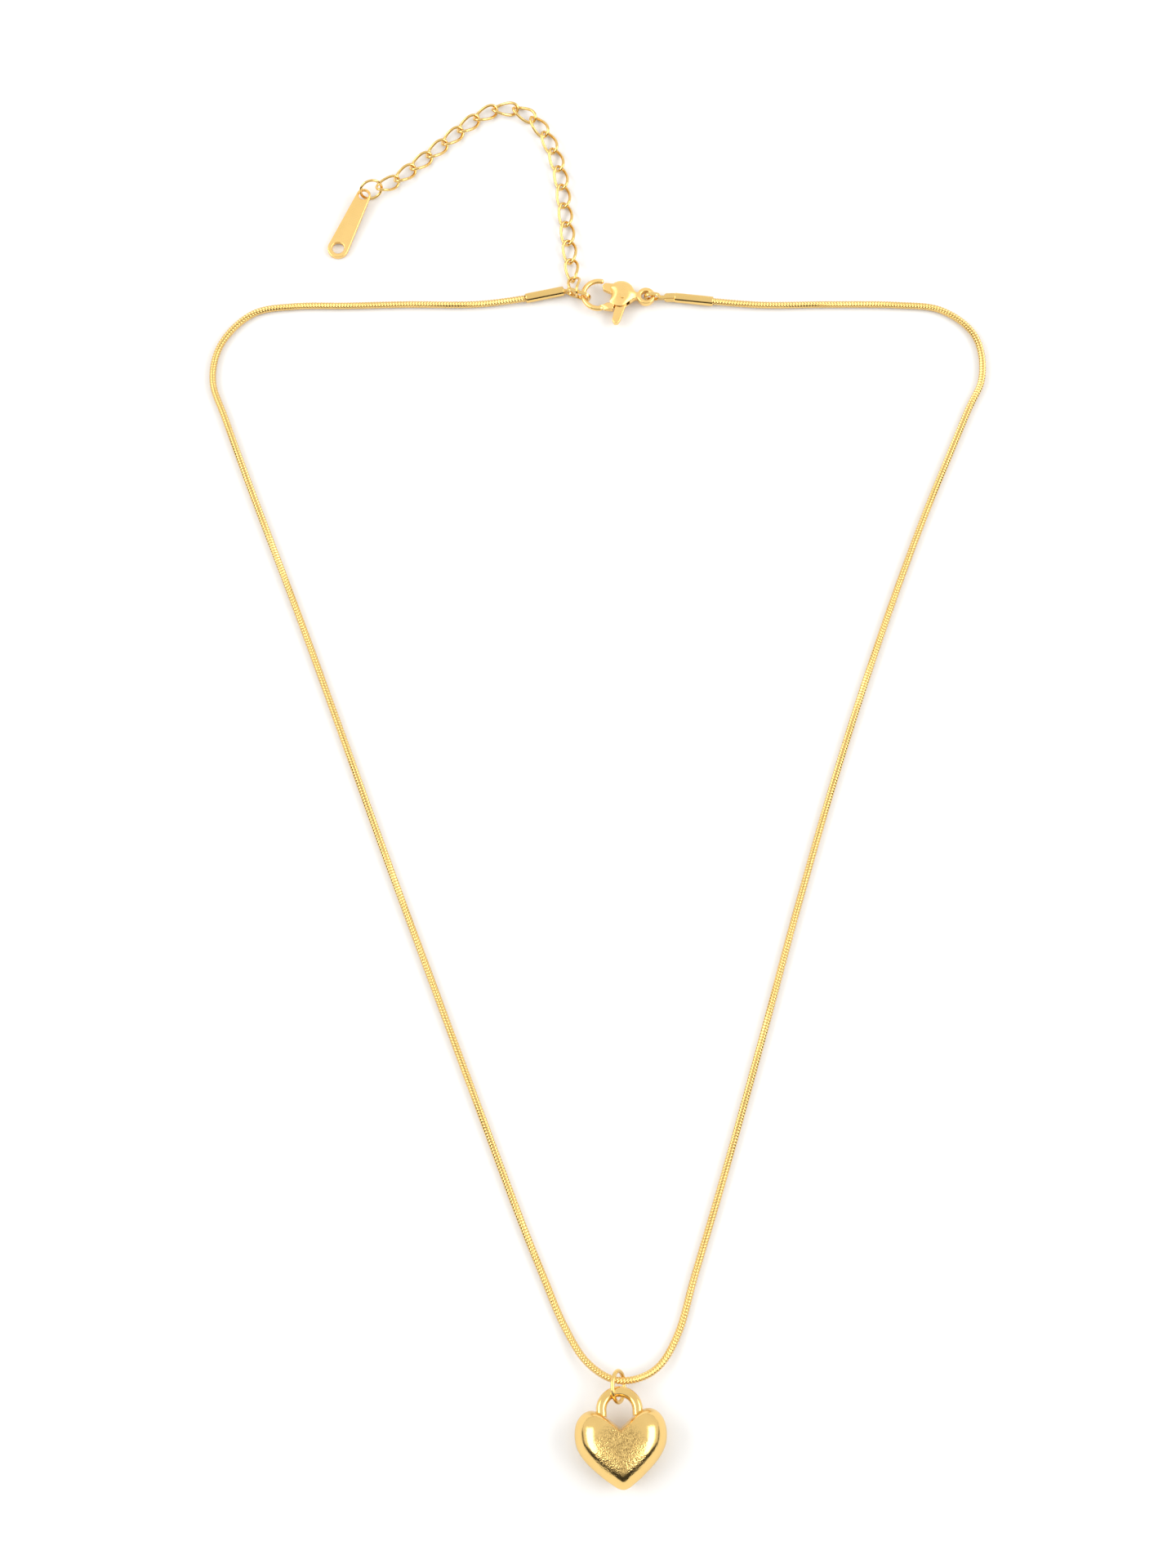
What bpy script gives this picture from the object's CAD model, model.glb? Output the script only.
import math

import bmesh
import bpy
import numpy as np
from mathutils import Matrix, Vector


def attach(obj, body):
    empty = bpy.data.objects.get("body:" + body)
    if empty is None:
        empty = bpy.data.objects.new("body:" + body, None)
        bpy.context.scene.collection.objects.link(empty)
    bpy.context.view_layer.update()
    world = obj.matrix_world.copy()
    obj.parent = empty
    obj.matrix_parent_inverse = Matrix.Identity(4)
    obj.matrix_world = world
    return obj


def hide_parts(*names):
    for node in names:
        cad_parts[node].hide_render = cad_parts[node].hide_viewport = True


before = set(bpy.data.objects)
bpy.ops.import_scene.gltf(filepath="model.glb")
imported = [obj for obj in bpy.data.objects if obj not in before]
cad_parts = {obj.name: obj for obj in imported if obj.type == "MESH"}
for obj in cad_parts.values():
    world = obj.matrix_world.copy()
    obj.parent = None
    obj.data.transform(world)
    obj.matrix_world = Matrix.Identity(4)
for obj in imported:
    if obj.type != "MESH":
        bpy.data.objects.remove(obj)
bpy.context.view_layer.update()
scene = bpy.context.scene
MM = 0.001

# ---------------------------------------------------------------- camera

# The camera looks down at 70 degrees from the pendant's side of the necklace.
AIM = Vector((9.5, -4.5, 0.0)) * MM
CAMERA_HEIGHT_ANGLE = math.radians(70)
CAMERA_DISTANCE = 450 * MM

LENS_MM, SENSOR_MM = 81.6, 36
NEAREST, FARTHEST = 0.02, 10

camera_data = bpy.data.cameras.new("camera")
camera_data.lens = LENS_MM
camera_data.sensor_width = SENSOR_MM
camera_data.clip_start = NEAREST
camera_data.clip_end = FARTHEST
camera = bpy.data.objects.new("camera", camera_data)
scene.collection.objects.link(camera)
back = Vector((0, -math.cos(CAMERA_HEIGHT_ANGLE), math.sin(CAMERA_HEIGHT_ANGLE)))
camera.location = AIM + CAMERA_DISTANCE * back
camera.rotation_euler = back.to_track_quat("Z", "Y").to_euler()
scene.camera = camera

# ---------------------------------------------------------------- mesh helpers, all in millimetres


def unit(v):
    """v, or each row of v, at length 1."""
    return v / np.linalg.norm(v, axis=-1, keepdims=True)


def rot(axis, degrees):
    """3 by 3 rotation about a row axis, "X", "Y" or "Z"."""
    return np.array(Matrix.Rotation(math.radians(degrees), 3, axis))


def place(points, at, turn=None):
    """Points turned by a 3 by 3 matrix and then moved."""
    points = np.asarray(points, float)
    if turn is not None:
        points = points @ np.asarray(turn).T
    return points + np.asarray(at, float)


def grid_faces(rows, columns, closed_rows=False):
    """Quads of a grid of vertices stored row by row, where each row is a closed ring."""
    r = np.arange(rows if closed_rows else rows - 1)
    r, c = np.meshgrid(r, np.arange(columns), indexing="ij")
    r2, c2 = (r + 1) % rows, (c + 1) % columns
    corners = [r * columns + c, r * columns + c2, r2 * columns + c2, r2 * columns + c]
    return np.stack(corners, -1).reshape(-1, 4)


def end_faces(rows, columns):
    """The two flat ends of an open grid."""
    return [list(range(columns))[::-1], list(range((rows - 1) * columns, rows * columns))]


def pole_faces(rows, columns):
    """Triangles from an open grid's first and last row to two poles, which are stored after the grid."""
    first, last, last_row = rows * columns, rows * columns + 1, (rows - 1) * columns
    faces = [[first, (k + 1) % columns, k] for k in range(columns)]
    return faces + [[last, last_row + k, last_row + (k + 1) % columns] for k in range(columns)]


def new_mesh(name, parts):
    """Mesh object of several (vertices in mm, faces) parts, smooth shaded."""
    verts, faces, base = [], [], 0
    for v, f in parts:
        v = np.asarray(v, float) * MM
        verts.append(v)
        faces += [[int(i) + base for i in face] for face in f]
        base += len(v)
    mesh = bpy.data.meshes.new(name)
    mesh.from_pydata(np.concatenate(verts).tolist(), [], faces)
    mesh.polygons.foreach_set("use_smooth", np.ones(len(mesh.polygons), bool))
    mesh.update()
    obj = bpy.data.objects.new(name, mesh)
    scene.collection.objects.link(obj)
    return obj


def finish_piece(obj, body, nodes, material, sharp=None):
    """Gives a piece its material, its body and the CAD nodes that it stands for."""
    mesh = obj.data
    bm = bmesh.new()
    bm.from_mesh(mesh)
    bmesh.ops.recalc_face_normals(bm, faces=bm.faces)
    bm.to_mesh(mesh)
    bm.free()
    if sharp is not None:
        mesh.set_sharp_from_angle(angle=math.radians(sharp))
    mesh.materials.append(material)
    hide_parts(*nodes)
    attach(obj, body)


def tangents(points, closed=False):
    """Unit directions along a line."""
    if closed:
        return unit(np.roll(points, -1, 0) - np.roll(points, 1, 0))
    return unit(np.gradient(points, axis=0))


def frames(points, closed=False):
    """Tangents and two cross directions of a line, the second as upright as it can be."""
    way = tangents(points, closed)
    side = unit(np.cross(way, [0, 0, 1.0]))
    return way, side, np.cross(side, way)


def carried_frames(points, first_side):
    """Tangents and cross directions of a closed line, turned as little as possible. What is left over at
    the join is spread along the line, so that there is no jump."""
    way = tangents(points, closed=True)
    n = len(points)
    side = np.zeros_like(points)
    s = np.asarray(first_side, float)
    for i in range(n + 1):
        s = s - way[i % n] * s.dot(way[i % n])
        s = s / np.linalg.norm(s)
        if i < n:
            side[i] = s
    up = np.cross(side, way)
    slip = math.atan2(s.dot(up[0]), s.dot(side[0]))
    t = -slip * np.arange(n)[:, None] / n
    return way, side * np.cos(t) + up * np.sin(t), up * np.cos(t) - side * np.sin(t)


def tube(points, radius, sides, closed=False, around=None):
    """Round wire along a line."""
    way, side, up = around if around is not None else frames(points, closed)
    a = np.linspace(0, 2 * math.pi, sides, endpoint=False)
    ring = np.cos(a)[None, :, None] * side[:, None] + np.sin(a)[None, :, None] * up[:, None]
    verts = points[:, None] + radius * ring
    n = len(points)
    faces = grid_faces(n, sides, closed_rows=closed).tolist()
    verts = verts.reshape(-1, 3)
    if not closed:
        verts = np.concatenate([verts, points[:1], points[-1:]])
        faces += pole_faces(n, sides)
    return verts, faces


def torus(radius, wire, at, turn, count=128, sides=20):
    """Closed ring of round wire in its own XY plane, then turned and moved."""
    t = np.linspace(0, 2 * math.pi, count, endpoint=False)
    line = np.stack([radius * np.cos(t), radius * np.sin(t), np.zeros(count)], -1)
    verts, faces = tube(line, wire / 2, sides, closed=True)
    return place(verts, at, turn), faces


def lathe(profile, count=48):
    """Profile of (along X, radius) points turned about X. A radius of 0 makes a pole."""
    verts, faces, rings = [], [], []
    a = np.linspace(0, 2 * math.pi, count, endpoint=False)
    for x, r in profile:
        if r == 0:
            rings.append([len(verts)])
            verts.append([x, 0, 0])
        else:
            rings.append(list(range(len(verts), len(verts) + count)))
            verts += np.stack([np.full(count, x), r * np.cos(a), r * np.sin(a)], -1).tolist()
    for p, q in zip(rings, rings[1:]):
        for k in range(count):
            k2 = (k + 1) % count
            if len(p) == 1:
                faces.append([p[0], q[k2], q[k]])
            elif len(q) == 1:
                faces.append([p[k], p[k2], q[0]])
            else:
                faces.append([p[k], p[k2], q[k2], q[k]])
    return np.array(verts), faces


def arc(cx, cy, r, start, end, count):
    """Points of an arc in a plane, with its angles in degrees."""
    t = np.radians(np.linspace(start, end, count))
    return np.stack([cx + r * np.cos(t), cy + r * np.sin(t)], -1)


# ---------------------------------------------------------------- implicit shapes


def polygon_distance(p, poly):
    """Signed distance of 2D points to a closed polygon, below 0 inside it."""
    a = np.asarray(poly, float)
    b = np.roll(a, -1, 0)
    best = np.full(len(p), 1e9)
    inside = np.zeros(len(p), bool)
    for (ax, ay), (bx, by) in zip(a, b):
        ex, ey = bx - ax, by - ay
        wx, wy = p[:, 0] - ax, p[:, 1] - ay
        t = np.clip((wx * ex + wy * ey) / (ex * ex + ey * ey), 0, 1)
        best = np.minimum(best, (wx - ex * t) ** 2 + (wy - ey * t) ** 2)
        if by != ay:
            crosses = (ay > p[:, 1]) != (by > p[:, 1])
            inside ^= crosses & (p[:, 0] < ex * (p[:, 1] - ay) / (by - ay) + ax)
    best = np.sqrt(best)
    return np.where(inside, -best, best)


def smooth_min(a, b, k):
    """Union of two distances with a fillet of about k."""
    h = np.clip(0.5 + 0.5 * (b - a) / k, 0, 1)
    return b + (a - b) * h - k * h * (1 - h)


def smooth_max(a, b, k):
    """Intersection of two distances with a rounded edge of about k."""
    return -smooth_min(-a, -b, k)


def hull_of_discs(discs, count=48):
    """Convex outline around several (x, y, radius) discs."""
    pts = np.concatenate([arc(x, y, r, 0, 360 - 360 / count, count) for x, y, r in discs])
    pts = pts[np.lexsort((pts[:, 1], pts[:, 0]))]

    def half(points):
        out = []
        for q in points:
            while len(out) > 1 and np.cross(out[-1] - out[-2], q - out[-2]) <= 0:
                out.pop()
            out.append(q)
        return out

    return np.array(half(pts)[:-1] + half(pts[::-1])[:-1])


BATCH = 200000


def surface_net(f, low, high, step):
    """Closed mesh of the surface f = 0, with its vertices moved onto it. f takes an N by 3 array."""
    axes = [np.arange(low[i], high[i] + step, step) for i in range(3)]
    shape = tuple(len(a) for a in axes)
    points = np.stack(np.meshgrid(*axes, indexing="ij"), -1).reshape(-1, 3)
    field = np.concatenate([f(points[i:i + BATCH]) for i in range(0, len(points), BATCH)]).reshape(shape)
    sums = np.zeros(tuple(n - 1 for n in shape) + (3,))
    counts = np.zeros(tuple(n - 1 for n in shape))
    quads = []
    for axis in range(3):
        lo = [slice(None)] * 3
        hi = [slice(None)] * 3
        lo[axis], hi[axis] = slice(0, -1), slice(1, None)
        f0, f1 = field[tuple(lo)], field[tuple(hi)]
        index = np.argwhere((f0 < 0) != (f1 < 0))
        g0 = f0[tuple(index.T)]
        g1 = f1[tuple(index.T)]
        where = index.astype(float)
        where[:, axis] += g0 / (g0 - g1)
        u, v = (axis + 1) % 3, (axis + 2) % 3
        keep = (index[:, u] > 0) & (index[:, v] > 0)
        keep &= (index[:, u] < shape[u] - 1) & (index[:, v] < shape[v] - 1)
        index, where, g0 = index[keep], where[keep], g0[keep]
        around = []
        for du, dv in ((1, 1), (0, 1), (0, 0), (1, 0)):
            cell = index.copy()
            cell[:, u] -= du
            cell[:, v] -= dv
            np.add.at(sums, tuple(cell.T), where)
            np.add.at(counts, tuple(cell.T), 1)
            around.append(cell)
        around = np.stack(around, 1)
        around[g0 >= 0] = around[g0 >= 0][:, ::-1]
        quads.append(around)
    cells = np.argwhere(counts > 0)
    number = np.full(counts.shape, -1)
    number[tuple(cells.T)] = np.arange(len(cells))
    verts = sums[tuple(cells.T)] / counts[tuple(cells.T)][:, None]
    verts = np.asarray(low) + verts * step
    faces = np.concatenate([number[tuple(q.reshape(-1, 3).T)].reshape(-1, 4) for q in quads])
    # Each vertex starts at the mean of the crossings on its cell's edges. Three short moves down the
    # slope of f bring it onto the surface.
    eps = step * 0.2
    for _ in range(3):
        value = f(verts)
        slope = np.stack([(f(verts + eps * e) - f(verts - eps * e)) / (2 * eps) for e in np.eye(3)], -1)
        size = np.maximum((slope ** 2).sum(-1), 0.2)
        move = -value[:, None] * slope / size[:, None]
        verts = verts + np.clip(move, -0.4 * step, 0.4 * step)
    return verts, faces.tolist()


# ---------------------------------------------------------------- materials


def map_range(tree, value, low, high, out_low, out_high, kind="LINEAR"):
    """A value that goes from out_low to out_high while the given one goes from low to high."""
    node = tree.nodes.new("ShaderNodeMapRange")
    node.interpolation_type = kind
    limits = {"From Min": low, "From Max": high, "To Min": out_low, "To Max": out_high}
    for name, number in limits.items():
        node.inputs[name].default_value = number
    tree.links.new(value, node.inputs["Value"])
    return node.outputs["Result"]


def combine(tree, operation, a, b):
    """The sum, product or quotient of two values."""
    node = tree.nodes.new("ShaderNodeMath")
    node.operation = operation
    tree.links.new(a, node.inputs[0])
    tree.links.new(b, node.inputs[1])
    return node.outputs[0]


def gold(name, colour, roughness, grain, grain_size, worn=0.0, pits=0.0, pit_size=0.17,
         pits_at=None, pits_reach=1.0):
    """Gold-coloured metal. Sizes are in millimetres. grain is a fine all-over brush or cast texture,
    worn varies the tone and gloss in soft patches, and pits are small soiled dents, which fade out at
    pits_reach from pits_at."""
    m = bpy.data.materials.new(name)
    m.use_nodes = True
    tree = m.node_tree
    nodes, links = tree.nodes, tree.links
    shader = nodes["Principled BSDF"]
    shader.inputs["Metallic"].default_value = 1.0
    where = nodes.new("ShaderNodeTexCoord").outputs["Object"]

    def noise(size, detail, rough=0.5):
        n = nodes.new("ShaderNodeTexNoise")
        n.inputs["Scale"].default_value = 1 / (size * MM)
        n.inputs["Detail"].default_value = detail
        n.inputs["Roughness"].default_value = rough
        links.new(where, n.inputs["Vector"])
        return n.outputs["Fac"]

    patches = noise(2.2, 4)
    tone = nodes.new("ShaderNodeMix")
    tone.data_type = "RGBA"
    deep = [c * k for c, k in zip(colour, (0.92, 0.86, 0.74))]
    tone.inputs["A"].default_value = (*deep, 1)
    tone.inputs["B"].default_value = (*colour, 1)
    share = map_range(tree, patches, 0.3, 0.62, 1 - 0.5 * max(worn, 0.3), 1.0)
    links.new(share, tone.inputs["Factor"])
    links.new(tone.outputs["Result"], shader.inputs["Base Color"])

    sway = 0.35 * worn
    gloss = map_range(tree, noise(0.7, 3, 0.6), 0.3, 0.7, roughness * (1 - sway), roughness * (1 + sway))
    links.new(gloss, shader.inputs["Roughness"])

    height = map_range(tree, noise(grain_size, 3, 0.6), 0, 1, 0, grain)
    if pits:
        cells = nodes.new("ShaderNodeTexVoronoi")
        cells.inputs["Scale"].default_value = 1 / (pit_size * MM)
        cells.inputs["Randomness"].default_value = 1.0
        links.new(where, cells.inputs["Vector"])
        dent = map_range(tree, cells.outputs["Distance"], 0.25, 0.85, -1, 0)
        chosen = map_range(tree, noise(pit_size * 2.4, 2, 0.7), 0.32, 0.52, 0, pits)
        away = nodes.new("ShaderNodeVectorMath")
        away.operation = "DISTANCE"
        links.new(where, away.inputs[0])
        away.inputs[1].default_value = [c * MM for c in pits_at]
        field = map_range(tree, away.outputs["Value"], 0.6 * pits_reach * MM, pits_reach * MM, 1, 0)
        dents = combine(tree, "MULTIPLY", dent, combine(tree, "MULTIPLY", chosen, field))
        # Dust and old polish stay in the dents, so they are darker than the metal between them.
        soiled = nodes.new("ShaderNodeMix")
        soiled.data_type = "RGBA"
        links.new(tone.outputs["Result"], soiled.inputs["A"])
        soiled.inputs["B"].default_value = (*[c * 0.42 for c in deep], 1)
        links.new(map_range(tree, dents, 0, -pits, 0, 1), soiled.inputs["Factor"])
        links.new(soiled.outputs["Result"], shader.inputs["Base Color"])
        height = combine(tree, "ADD", height, dents)
    bump = nodes.new("ShaderNodeBump")
    bump.inputs["Strength"].default_value = 1.0
    bump.inputs["Distance"].default_value = MM
    links.new(height, bump.inputs["Height"])
    links.new(bump.outputs["Normal"], shader.inputs["Normal"])
    return m


GOLD = (0.85, 0.587, 0.215)
PALE_GOLD = (0.98, 0.67, 0.25)
STEEL = (0.55, 0.55, 0.57)
polished = gold("polished_gold", GOLD, 0.13, grain=0.004, grain_size=0.25, worn=0.5)
chain_gold = gold("chain_gold", GOLD, 0.2, grain=0.004, grain_size=0.12, worn=0.6)
wire_gold = gold("wire_gold", GOLD, 0.16, grain=0.005, grain_size=0.2, worn=0.6)
satin = gold("satin_gold", PALE_GOLD, 0.3, grain=0.006, grain_size=0.1, worn=0.4)
heart_gold = gold("heart_gold", GOLD, 0.14, grain=0.006, grain_size=0.25, worn=0.6,
                  pits=0.035, pit_size=0.17, pits_at=(13.3, -89.2, 5.0), pits_reach=3.4)
steel = gold("spring_steel", STEEL, 0.25, grain=0.003, grain_size=0.1)

# ---------------------------------------------------------------- snake chain, the free cord

# End caps: the mouth that takes the chain, the tube's heading, the loop's heading, its reach past the
# tube, and the length of its straight sides
LEFT = dict(mouth=(1.2, 63.95, 0.75), yaw=12.5, eye_yaw=-20, eye_len=3.8, straight=1.7)
RIGHT = dict(mouth=(26.15, 63.5, 0.75), yaw=173.5, eye_yaw=181, eye_len=4.05, straight=0.4)
CAP_LEN = 5.2
EYE_R, STRIP_W, STRIP_T = 0.9, 0.45, 0.3
CAP_SEAT = 2.0
CHAIN_D = 0.9
MID_Z = 1.1


def cap_axis(cap):
    a = math.radians(cap["yaw"])
    return np.array([math.cos(a), math.sin(a), 0.0])


# The chain's route in metres, from the left cap round the pendant to the right cap
ROUTE = [
    (-0.0055, 0.0632, 0.0005), (-0.0145, 0.0632, 0.00047), (-0.0225, 0.063, 0.00047),
    (-0.0295, 0.0629, 0.00047), (-0.035, 0.0618, 0.00047), (-0.039, 0.0575, 0.00047),
    (-0.04, 0.052, 0.00047), (-0.038, 0.046, 0.00047), (-0.034, 0.035, 0.00047),
    (-0.0276, 0.018, 0.00047), (-0.0214, 0.001, 0.00047), (-0.0153, -0.016, 0.00047),
    (-0.0092, -0.0325, 0.00047), (-0.0029, -0.0495, 0.00047), (0.0012, -0.0605, 0.00047),
    (0.0042, -0.068, 0.00047), (0.0066, -0.0737, 0.0005), (0.0094, -0.0783, 0.0012),
    (0.0132, -0.0806, 0.00185), (0.0175, -0.0792, 0.0012), (0.0203, -0.0747, 0.0005),
    (0.0224, -0.0675, 0.00047), (0.026, -0.0555, 0.00047), (0.031, -0.038, 0.00047),
    (0.0357, -0.021, 0.00047), (0.0407, -0.004, 0.00047), (0.0464, 0.0135, 0.00047),
    (0.0525, 0.0305, 0.00047), (0.059, 0.0465, 0.00047), (0.0615, 0.0525, 0.00047),
    (0.0608, 0.0585, 0.00047), (0.0565, 0.0623, 0.00047), (0.0505, 0.0631, 0.00047),
    (0.0415, 0.0632, 0.00047), (0.033, 0.0631, 0.0005),
]


def smooth_line(points, per):
    """Smooth curve through the points, with a few points in each interval."""
    p = np.asarray(points, float)
    q = np.concatenate([p[:1], p, p[-1:]])
    out = []
    for i in range(len(p) - 1):
        a, b, c, d = q[i:i + 4]
        for t in np.arange(per) / per:
            out.append(0.5 * (2 * b + (c - a) * t + (2 * a - 5 * b + 4 * c - d) * t ** 2
                              + (3 * b - a - 3 * c + d) * t ** 3))
    return np.array(out + [p[-1]])


def resample(line, step):
    """The line again, with points at one even step, and its length."""
    along = np.concatenate([[0], np.cumsum(np.linalg.norm(np.diff(line, axis=0), axis=1))])
    count = int(round(along[-1] / step))
    at = np.linspace(0, along[-1], count + 1)
    return np.stack([np.interp(at, along, line[:, k]) for k in range(3)], -1), along[-1]


left_mouth = np.array(LEFT["mouth"])
right_mouth = np.array(RIGHT["mouth"])
route = np.concatenate([
    [left_mouth + CAP_SEAT * cap_axis(LEFT), left_mouth],
    np.array(ROUTE) / MM,
    [right_mouth, right_mouth + CAP_SEAT * cap_axis(RIGHT)],
])
RING_PITCH = 0.385
centreline, chain_length = resample(smooth_line(route, 40), RING_PITCH)
way, side, up = frames(centreline)

# Each ring of the chain is a wavy band, nested in the next. Its wave has two crests around the chain,
# and the whole chain turns slowly about its own line, as a snake chain does when it is laid down.
COLUMNS = 24
WAVE = 0.17
# Each ring's section: how far along its pitch, and how deep below the chain's outside
PROFILE = [(0.0, 0.14), (0.14, 0.045), (0.35, 0.0), (0.65, 0.0), (0.86, 0.045)]
TURN_LENGTH = 95.0
angles = np.linspace(0, 2 * math.pi, COLUMNS, endpoint=False)
folded = 2 * angles / (2 * math.pi) % 1.0
wave = WAVE * (1 - 4 * np.abs(folded - 0.5))
rings = len(centreline) - 1
rows = []
for phase, depth in PROFILE:
    s = np.arange(rings)[:, None] + phase + wave[None, :] / RING_PITCH
    s = np.clip(s, 0, rings)
    i = np.minimum(s.astype(int), rings - 1)
    t = (s - i)[..., None]
    centre = centreline[i] * (1 - t) + centreline[i + 1] * t
    across = unit(side[i] * (1 - t) + side[i + 1] * t)
    over = unit(up[i] * (1 - t) + up[i + 1] * t)
    roll = (angles[None, :] + 2 * math.pi * s * RING_PITCH / TURN_LENGTH)[..., None]
    rows.append(centre + (CHAIN_D / 2 - depth) * (np.cos(roll) * across + np.sin(roll) * over))
verts = np.stack(rows, 1).reshape(-1, 3)
count = rings * len(PROFILE)
faces = grid_faces(count, COLUMNS).tolist() + end_faces(count, COLUMNS)
snake = new_mesh("snake_chain_rings", [(verts, faces)])
finish_piece(snake, "chain", ["snake_chain"], chain_gold)

# ---------------------------------------------------------------- end caps


def stadium_loop(far, near):
    """Centreline of a cap's folded loop, upright in its own XZ plane."""
    r = EYE_R - STRIP_T / 2
    right = arc(far, 0, r, -90, 90, 33)
    left = arc(near, 0, r, 90, 270, 33)
    line = np.concatenate([right, left])
    return np.stack([line[:, 0], np.zeros(len(line)), line[:, 1]], -1)


def strip(points, width, thick, closed=True, corner=0.07):
    """Flat strip with rounded edges along a line in the XZ plane; its width is along Y."""
    n = len(points)
    way = tangents(points, closed)
    outward = np.stack([way[:, 2], np.zeros(n), -way[:, 0]], -1)
    section = []
    for cx, cy, start in ((1, 1, 0), (-1, 1, 90), (-1, -1, 180), (1, -1, 270)):
        for p in arc(cx * (width / 2 - corner), cy * (thick / 2 - corner), corner, start, start + 90, 5):
            section.append(p)
    section = np.array(section)
    verts = points[:, None] + section[None, :, 0, None] * np.array([0, 1.0, 0]) \
        + section[None, :, 1, None] * outward[:, None]
    k = len(section)
    faces = grid_faces(n, k, closed_rows=closed).tolist()
    if not closed:
        faces += end_faces(n, k)
    return verts.reshape(-1, 3), faces


TUBE_R, TUBE_EDGE, BORE_R = 0.65, 0.16, 0.5
TONGUE_R, TONGUE_TIP = 0.6, 0.35


def half_round_tongue(length):
    """The lower part of a cap's tube carried on past its end, with a rounded tip."""
    bend = np.radians([30, 60, 85])
    xs = np.linspace(-0.3, length - TONGUE_TIP, 6)
    xs = np.concatenate([xs, length - TONGUE_TIP + TONGUE_TIP * np.sin(bend)])
    shrink = np.concatenate([np.ones(6), np.cos(bend) * 0.6 + 0.4])
    flat_top = arc(0, 0.12, 0.5, 10, 170, 3) * [1, 0] + [0, 0.17]
    section = np.concatenate([arc(0, 0, TONGUE_R, 166, 374, 25), flat_top])
    m = len(section)
    slices = [np.stack([np.full(m, x), section[:, 0] * k, section[:, 1]], -1) for x, k in zip(xs, shrink)]
    return np.concatenate(slices), grid_faces(len(xs), m).tolist() + end_faces(len(xs), m)


def end_cap(name, cap, tongue, node):
    """Tube crimped over the chain, with its folded loop and the strip that joins them."""
    r, edge = TUBE_R, TUBE_EDGE
    profile = [(CAP_SEAT, 0), (CAP_SEAT, BORE_R), (0.12, BORE_R), (0.02, BORE_R + 0.04)]
    profile += arc(edge, r - edge, edge, 170, 90, 8).tolist()
    # The rolled tube isn't quite straight: it swells twice by less than a hundredth of a millimetre.
    profile += [(0.5, r), (1.5, r + 0.008), (3.0, r), (4.5, r + 0.006)]
    profile += arc(CAP_LEN - edge, r - edge, edge, 90, 0, 8).tolist()
    profile += [(CAP_LEN, 0.3), (CAP_LEN, 0)]
    tube_v, tube_f = lathe(profile)
    parts = [(place(tube_v, cap["mouth"], rot("Z", cap["yaw"])), tube_f)]
    end = np.array(cap["mouth"]) + CAP_LEN * cap_axis(cap)
    turn = rot("Z", cap["eye_yaw"])
    far = cap["eye_len"] - EYE_R
    near = far - cap["straight"]
    v, f = strip(stadium_loop(far, near), STRIP_W, STRIP_T)
    parts.append((place(v, (end[0], end[1], MID_Z), turn), f))
    # The two ends of the strip lie on each other where they run from the loop into the tube.
    start = near - EYE_R + STRIP_T
    for dz in (-STRIP_T / 2, STRIP_T / 2):
        bar = np.stack([np.linspace(-0.45, start, 9), np.zeros(9), np.full(9, dz)], -1)
        v, f = strip(bar, STRIP_W, STRIP_T - 0.01, closed=False)
        parts.append((place(v, end, turn), f))
    if tongue:
        v, f = half_round_tongue(tongue)
        parts.append((place(v, end, turn), f))
    finish_piece(new_mesh(name, parts), "chain", [node], polished, sharp=40)


# Only the right cap has its tongue: the first link passes too close to the left cap's end for one.
end_cap("left_cap", LEFT, 0, "left_end_cap")
end_cap("right_cap", RIGHT, 1.35, "right_end_cap")

# ---------------------------------------------------------------- lobster clasp, drawn about its tail ring

TAIL = (17.2, 64.0, MID_Z)
CLASP_TURN = rot("Z", 177.3)
PIVOT = np.array([3.1, 0.5])
HOOK = np.array([6.3, 0.0])
HOOK_R, HOOK_WIRE, HOOK_END = 2.02, 0.34, 98
TAIL_R, TAIL_HOLE = 0.9125, 0.625
CLASP_HALF = 1.1
SLOT_HALF = 0.45
# Flat facets on the top: the way each one faces, how far out it starts, its slope and its height
FACETS = (((-0.28, 0.96), 0.1, 0.27, 0.98), ((0.5, 0.866), 2.05, 0.8, 0.92))

body_outline = hull_of_discs([(2.2, -0.05, 0.95), (3.3, -0.35, 1.75), (3.9, 1.0, 1.25)])
nose_outline = hull_of_discs([(3.9, 1.0, 1.25), (5.75, 1.85, 0.42)])
slot_gate = PIVOT + np.array([[-0.2, -0.85], [1.2, -2.6], [3.4, -1.6], [3.4, 0.7], [0, 0.85]])
slot_thumb = PIVOT + np.array([[-0.85, 0], [-1.7, 3.6], [1.6, 3.6], [0.85, 0]])


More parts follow.
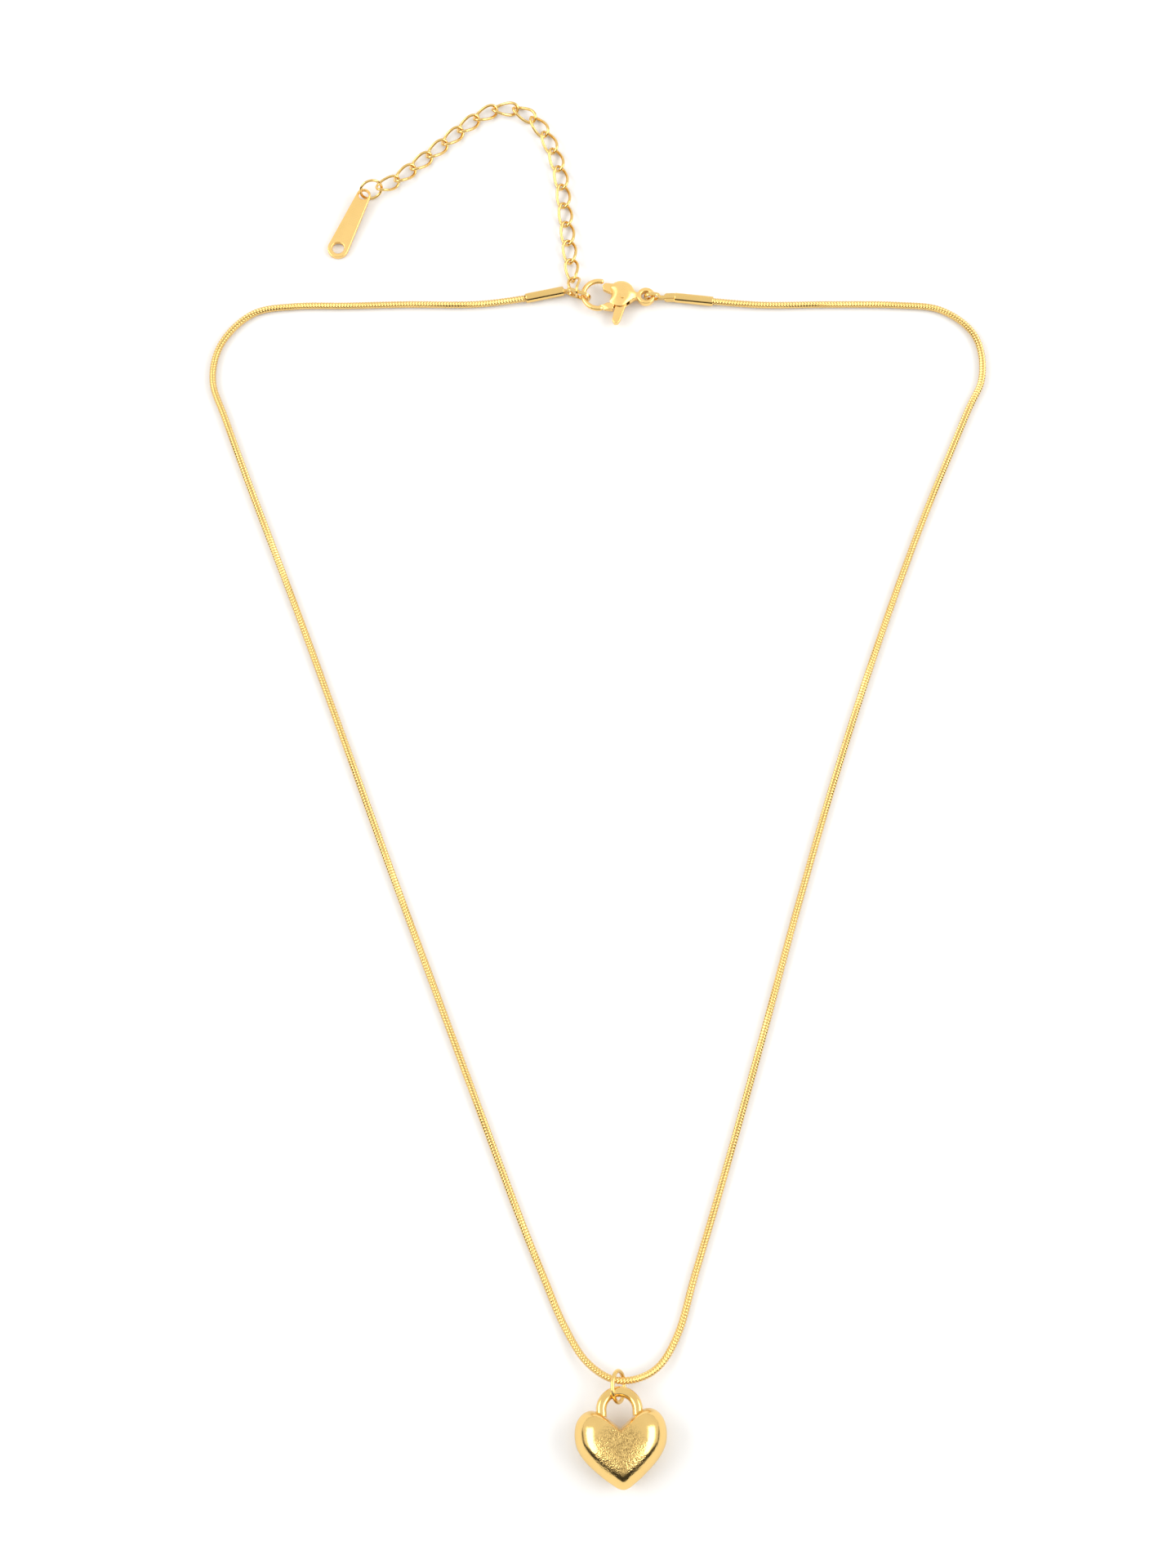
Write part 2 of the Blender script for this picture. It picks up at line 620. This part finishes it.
def clasp_shape(p):
    """Body with bevelled flanks, hook, tail ring and slot, as one signed distance."""
    xy, z = p[:, :2], np.abs(p[:, 2])
    flat = smooth_min(polygon_distance(xy, body_outline), polygon_distance(xy, nose_outline), 0.25)
    to_hook = np.linalg.norm(xy - HOOK, axis=1)
    flat = smooth_max(flat, HOOK_R - HOOK_WIRE - 0.05 - to_hook, 0.12)
    # The top is a low dome. On the thumb's side a broad flat facet runs from the neck to the nose, and a
    # second one cuts the nose.
    top = CLASP_HALF - 0.02 - 0.13 * ((xy[:, 0] - 3.3) ** 2 + (xy[:, 1] + 0.35) ** 2)
    top = np.clip(top, 0.45, CLASP_HALF)
    body = smooth_max(smooth_max(flat, z - top, 0.1), (z - 0.4 + 0.95 * flat) / math.hypot(1, 0.95), 0.25)
    for (nx, ny), reach, rise, high in FACETS:
        away = nx * (xy[:, 0] - 3.0) + ny * (xy[:, 1] - 0.1) - reach
        body = smooth_max(body, (z - high + rise * away) / math.hypot(1, rise), 0.05)
    # Hook: an arc of round wire that ends in a rounded tip
    a = np.degrees(np.arctan2(xy[:, 1] - HOOK[1], xy[:, 0] - HOOK[0]))
    a = np.clip(a, -HOOK_END, HOOK_END)
    near = HOOK + HOOK_R * np.stack([np.cos(np.radians(a)), np.sin(np.radians(a))], -1)
    wire = np.hypot(np.linalg.norm(xy - near, axis=1), z) - HOOK_WIRE
    whole = smooth_min(body, wire, 0.16)
    # Tail ring with a rounded rim
    r = np.linalg.norm(xy, axis=1)
    ring = np.hypot(np.maximum(np.abs(r - TAIL_R) - 0.09, 0), np.maximum(z - 0.28, 0)) - 0.2
    neck = smooth_max(np.abs(xy[:, 1]) - 0.42, np.maximum(0.75 - xy[:, 0], xy[:, 0] - 2.4), 0.1)
    neck = smooth_max(smooth_max(neck, z - 0.5, 0.2), 0.66 - r, 0.1)
    whole = smooth_min(smooth_min(whole, neck, 0.25), ring, 0.2)
    whole = smooth_max(whole, TAIL_HOLE - r, 0.06)
    slot = np.minimum(polygon_distance(xy, slot_gate), polygon_distance(xy, slot_thumb))
    slot = np.minimum(slot, np.linalg.norm(xy - PIVOT, axis=1) - 0.9)
    slot = np.maximum(slot, z - SLOT_HALF)
    return smooth_max(whole, -slot, 0.05)


STEP = 0.06
CLASP_LOW, CLASP_HIGH = (-1.4, -2.6, -1.3), (8.9, 2.9, 1.3)
v, f = surface_net(clasp_shape, CLASP_LOW, CLASP_HIGH, STEP)
clasp = new_mesh("clasp_case", [(place(v, TAIL, CLASP_TURN), f)])
finish_piece(clasp, "clasp", ["clasp_body"], satin)


def flat_plate(name, outline, holes, half, bevel, at, turn):
    """Flat plate with rounded edges, cut to an outline, with round (x, y, radius) holes."""
    curve = bpy.data.curves.new(name, "CURVE")
    curve.dimensions = "2D"
    curve.fill_mode = "BOTH"
    curve.extrude = (half - bevel) * MM
    curve.bevel_depth = bevel * MM
    curve.bevel_resolution = 3
    curve.offset = -bevel * MM
    loops = [outline] + [arc(x, y, r, 0, 360 - 360 / 64, 64)[::-1] for x, y, r in holes]
    for loop in loops:
        s = curve.splines.new("POLY")
        s.points.add(len(loop) - 1)
        for point, (x, y) in zip(s.points, loop):
            point.co = (x * MM, y * MM, 0, 1)
        s.use_cyclic_u = True
    temp = bpy.data.objects.new(name, curve)
    scene.collection.objects.link(temp)
    bpy.context.view_layer.update()
    mesh = bpy.data.meshes.new_from_object(temp)
    bpy.data.objects.remove(temp)
    bpy.data.curves.remove(curve)
    bm = bmesh.new()
    bm.from_mesh(mesh)
    bmesh.ops.remove_doubles(bm, verts=bm.verts, dist=0.002 * MM)
    bmesh.ops.dissolve_degenerate(bm, dist=0.001 * MM, edges=bm.edges)
    bm.to_mesh(mesh)
    bm.free()
    mesh.polygons.foreach_set("use_smooth", np.ones(len(mesh.polygons), bool))
    mesh.name = name
    turn4 = Matrix(np.asarray(turn).tolist()).to_4x4()
    mesh.transform(Matrix.Translation(Vector(at) * MM) @ turn4)
    obj = bpy.data.objects.new(name, mesh)
    scene.collection.objects.link(obj)
    return obj


def rounded(points, radii, per=8):
    """Polygon with each corner rounded by its own radius."""
    p = np.asarray(points, float)
    out = []
    for i in range(len(p)):
        a, b, c = p[i - 1], p[i], p[(i + 1) % len(p)]
        u, w = unit(a - b), unit(c - b)
        half = 0.5 * math.acos(np.clip(u.dot(w), -1, 1))
        sides = 0.45 * np.linalg.norm(a - b), 0.45 * np.linalg.norm(c - b)
        cut = min(radii[i] / math.tan(half), *sides)
        start, end = b + cut * u, b + cut * w
        for t in np.linspace(0, 1, per):
            out.append((1 - t) ** 2 * start + 2 * t * (1 - t) * b + t ** 2 * end)
    return np.array(out)


lever_outline = rounded(
    [(-0.72, -0.3), (-0.3, -0.68), (1.2, -2.1), (2.4, -2.2), (2.75, -1.75), (2.6, -1.2), (1.5, -0.7),
     (0.72, 0.1), (1.25, 3.2), (0.95, 3.75), (0.45, 3.7), (0.15, 3.2), (-0.68, 0.35)],
    [0.4, 0.3, 0.3, 0.25, 0.25, 0.25, 0.5, 0.5, 0.5, 0.3, 0.3, 0.5, 0.4],
)
PIN_HOLE_R, LEVER_HALF, LEVER_BEVEL = 0.35, 0.35, 0.1
lever_at = np.array(TAIL) + CLASP_TURN @ np.array([PIVOT[0], PIVOT[1], 0])
lever = flat_plate("clasp_gate", lever_outline, [(0, 0, PIN_HOLE_R)], LEVER_HALF, LEVER_BEVEL,
                   lever_at, CLASP_TURN)
finish_piece(lever, "lever", ["clasp_lever"], satin, sharp=50)

# ---------------------------------------------------------------- pendant ring

RING_AT = (13.1, -81.4, 2.3)
RING_R, RING_WIRE = 1.85, 0.5
v, f = torus(RING_R, RING_WIRE, RING_AT, rot("Z", -4) @ rot("Y", 68))
pendant_ring = new_mesh("pendant_jump_ring", [(v, f)])
finish_piece(pendant_ring, "pendant_ring", ["pendant_ring"], wire_gold)

# ---------------------------------------------------------------- heart and its bail

BAIL_TOP = (13.1, -82.05, 2.63)
HEART_W, HEART_H, HEART_T = 10.95, 9.5, 5.2
BAIL_R, BAIL_D, FOOT = 2.15, 1.25, 1.6
HEART_TURN = rot("Z", 3)
MIDDLE_DOWN = 6.85
CROWN_UP = 0.2
# Right half of the outline, from the cleft to the tip, as shares of the width and the height
HALF = np.array([
    (0, 0.27), (0.085, 0.352), (0.172, 0.435), (0.243, 0.485), (0.328, 0.5), (0.415, 0.45), (0.479, 0.34),
    (0.5, 0.185), (0.475, 0.02), (0.385, -0.15), (0.225, -0.335), (0.12, -0.432), (0.06, -0.48), (0, -0.5),
])


def even_rim(count):
    """The outline with even steps along it, from the cleft round the tip and back to the cleft."""
    both = np.concatenate([HALF, HALF[-2::-1] * [-1, 1]]) * [HEART_W, HEART_H]
    line = smooth_line(np.concatenate([both, np.zeros((len(both), 1))], 1), 60)[:, :2]
    along = np.concatenate([[0], np.cumsum(np.linalg.norm(np.diff(line, axis=0), axis=1))])
    at = np.linspace(0, along[-1], count, endpoint=False)
    return np.stack([np.interp(at, along, line[:, 0]), np.interp(at, along, line[:, 1])], -1)


AROUND, LEVELS = 300, 36
SEAM_DEPTH, SEAM_HALF = 0.006, 0.05
rim = even_rim(AROUND)
rows = []
for j in range(-LEVELS + 1, LEVELS):
    lift = math.pi / 2 * j / LEVELS
    # The levels crowd towards the rim, where the puff turns fastest.
    size = max(math.cos(lift), 0) ** 0.8
    z = math.copysign(HEART_T / 2 * (1 - size ** 3.6) ** 0.8, j) if j else 0.0
    # A fine parting line runs round the middle, where the two halves of the puff meet.
    size -= SEAM_DEPTH * math.exp(-(z / SEAM_HALF) ** 2)
    rows.append(np.concatenate([rim * size + [0, CROWN_UP * (1 - size)], np.full((AROUND, 1), z)], 1))
verts = np.concatenate(rows + [[[0, CROWN_UP, -HEART_T / 2], [0, CROWN_UP, HEART_T / 2]]])
n = 2 * LEVELS - 1
faces = grid_faces(n, AROUND).tolist() + pole_faces(n, AROUND)
heart_part = (place(place(verts, (0, -MIDDLE_DOWN, 0)), BAIL_TOP, HEART_TURN), faces)
# The bail is an arch of round wire with both feet in the heart.
legs = np.linspace(FOOT, 0, 12, endpoint=False)
arch = arc(0, -BAIL_R, BAIL_R, 180, 0, 60)
arch = np.concatenate([
    np.stack([np.full(12, -BAIL_R), -BAIL_R - legs], -1), arch,
    np.stack([np.full(12, BAIL_R), -BAIL_R - legs[::-1]], -1),
])
v, f = tube(np.concatenate([arch, np.zeros((len(arch), 1))], 1), BAIL_D / 2, 28)
bail_part = (place(v, BAIL_TOP, HEART_TURN), f)
heart = new_mesh("puffed_heart", [heart_part, bail_part])
finish_piece(heart, "heart", ["heart"], heart_gold)

# ---------------------------------------------------------------- extender links, tag ring and tag

LINK_PITCH, LINK_FIRST = 2.85, 2.5
LINK_START = np.array([7.95, 64.2])
LINK_YAW = [99, 97, 96, 96, 96, 95, 99, 106, 113, 125, 148, 182, 210, 221, 223, 223, 221, 223, 212]
LINK_Z = [1.55, 0.87, 0.7, 0.64] + [0.62] * 13 + [0.74, 1.04]
LINK_SLOPE = [24, 5, 2, 0] + [0] * 13 + [-5, -12]
LINK_ROLL = [-45, -28, -14, -5] + [0] * 14 + [-10]


def heading(degrees):
    a = math.radians(degrees)
    return np.array([math.cos(a), math.sin(a)])


LINK_HALF_LENGTH, LINK_HALF_WIDTH, LINK_TWIST = 1.7, 0.85, 0.4
# The first and last link have the least room at their joints' limits, so their wire is a little finer.
LINK_WIRE_R, FINE_WIRE_R, FINE_LINKS = 0.2, 0.185, (0, 18)
t = np.linspace(0, 2 * math.pi, 72, endpoint=False)
link_line = np.stack([
    LINK_HALF_LENGTH * np.cos(t), LINK_HALF_WIDTH * np.sin(t), LINK_TWIST * np.sin(2 * t),
], -1)
carried = carried_frames(link_line, (1, 0, 0))
joint = LINK_START.copy()
for i, yaw in enumerate(LINK_YAW):
    step = (LINK_FIRST if i == 0 else LINK_PITCH) * heading(yaw)
    middle = joint + step / 2
    turn = rot("Z", yaw) @ rot("Y", LINK_SLOPE[i]) @ rot("X", LINK_ROLL[i])
    name = f"link_{i + 1:02d}"
    wire_r = FINE_WIRE_R if i in FINE_LINKS else LINK_WIRE_R
    v, f = tube(link_line, wire_r, 14, closed=True, around=carried)
    link = new_mesh("curb_" + name, [(place(v, (middle[0], middle[1], LINK_Z[i]), turn), f)])
    finish_piece(link, name, [name], wire_gold)
    joint = joint + step

TAG_RING_R, TAG_RING_WIRE, TAG_RING_Z, TAG_RING_YAW, TAG_RING_LEAN = 1.45, 0.37, 1.54, 198, -66
tag_ring_at = joint + 1.08 * heading(TAG_RING_YAW)
v, f = torus(TAG_RING_R, TAG_RING_WIRE, (tag_ring_at[0], tag_ring_at[1], TAG_RING_Z),
             rot("Z", TAG_RING_YAW) @ rot("X", TAG_RING_LEAN))
tag_ring = new_mesh("tag_jump_ring", [(v, f)])
finish_piece(tag_ring, "tag_ring", ["tag_ring"], wire_gold)

TAG_PITCH, TAG_T, TAG_WIDE, TAG_NARROW = 8.4, 0.6, 2.8, 1.9
NARROW_HOLE_R, WIDE_HOLE_R, TAG_BEVEL = 0.675, 0.8, 0.12
TAG_Z, TAG_YAW, TAG_SLOPE = 0.66, 247, 3.75
tag_at = tag_ring_at + np.array([-1.0, -0.6])
taper = math.degrees(math.asin((TAG_WIDE - TAG_NARROW) / 2 / TAG_PITCH))
outline = np.concatenate([
    arc(TAG_PITCH, 0, TAG_WIDE / 2, -90 - taper, 90 + taper, 48),
    arc(0, 0, TAG_NARROW / 2, 90 + taper, 270 - taper, 40),
])
turn = rot("Z", TAG_YAW) @ rot("Y", TAG_SLOPE)
holes = [(0, 0, NARROW_HOLE_R), (TAG_PITCH, 0, WIDE_HOLE_R)]
tag_middle = np.array([tag_at[0], tag_at[1], TAG_Z]) + turn @ np.array([0, 0, TAG_T / 2])
tag = flat_plate("tag_plate", outline, holes, TAG_T / 2, TAG_BEVEL, tag_middle, turn)
finish_piece(tag, "tag", ["tag"], satin, sharp=50)

# The pin and the spring are the CAD's own pieces, and only get a material.
for node, material in (("clasp_pin", satin), ("clasp_spring", steel)):
    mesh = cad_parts[node].data
    mesh.materials.clear()
    mesh.materials.append(material)

# ---------------------------------------------------------------- table, light and view

FLOOR_HALF = 3.0
PAPER = (0.84, 0.84, 0.84, 1)
floor_mesh = bpy.data.meshes.new("table")
corners = [(x * FLOOR_HALF, y * FLOOR_HALF, 0) for x, y in ((-1, -1), (1, -1), (1, 1), (-1, 1))]
floor_mesh.from_pydata(corners, [], [(0, 1, 2, 3)])
floor = bpy.data.objects.new("table", floor_mesh)
scene.collection.objects.link(floor)
floor.location.z = -0.02 * MM
paper = bpy.data.materials.new("white_paper")
paper.use_nodes = True
shader = paper.node_tree.nodes["Principled BSDF"]
for socket, value in (("Base Color", PAPER), ("Roughness", 0.9), ("Specular IOR Level", 0.1)):
    shader.inputs[socket].default_value = value
floor_mesh.materials.append(paper)


def softbox(name, where, size, power):
    """Large rectangular area light aimed at the middle of the necklace. Sizes are in metres."""
    data = bpy.data.lights.new(name, "AREA")
    data.shape = "RECTANGLE"
    data.size, data.size_y = size
    data.energy = power
    obj = bpy.data.objects.new(name, data)
    scene.collection.objects.link(obj)
    obj.location = where
    obj.rotation_euler = (Vector(where) - AIM).to_track_quat("Z", "Y").to_euler()


for name, x in (("left_box", -1.0), ("right_box", 1.0)):
    softbox(name, (x, -0.08, 0.75), (1.25, 0.62), 8.5)

# The room: a pale wall behind the table, a soft ceiling, and a dark band above the table's edge that is
# low at the sides and high on the photographer's side
world = bpy.data.worlds.new("studio")
scene.world = world
world.use_nodes = True
sky = world.node_tree
nodes, links = sky.nodes, sky.links
direction = nodes.new("ShaderNodeSeparateXYZ")
links.new(nodes.new("ShaderNodeTexCoord").outputs["Generated"], direction.inputs["Vector"])


def ramp(value, *limits):
    """map_range for the sky, with soft ends."""
    return map_range(sky, value, *limits, kind="SMOOTHSTEP")


band_top = combine(
    sky, "ADD",
    ramp(direction.outputs["Y"], -0.8, 0.0, 0.72, 0.15),
    ramp(direction.outputs["Y"], 0.1, 0.5, 0.0, -0.13),
)
above = combine(sky, "DIVIDE", direction.outputs["Z"], band_top)
room = ramp(above, 0.5, 1.15, 0.05, 1.0)
ceiling = ramp(direction.outputs["Z"], 0.6, 0.9, 1.0, 0.98)
background = nodes["Background"]
links.new(combine(sky, "MULTIPLY", room, ceiling), background.inputs["Strength"])
background.inputs["Color"].default_value = (1.0, 0.99, 0.97, 1)

scene.view_settings.view_transform = "Standard"
scene.view_settings.look = "None"
scene.view_settings.exposure = 0.0
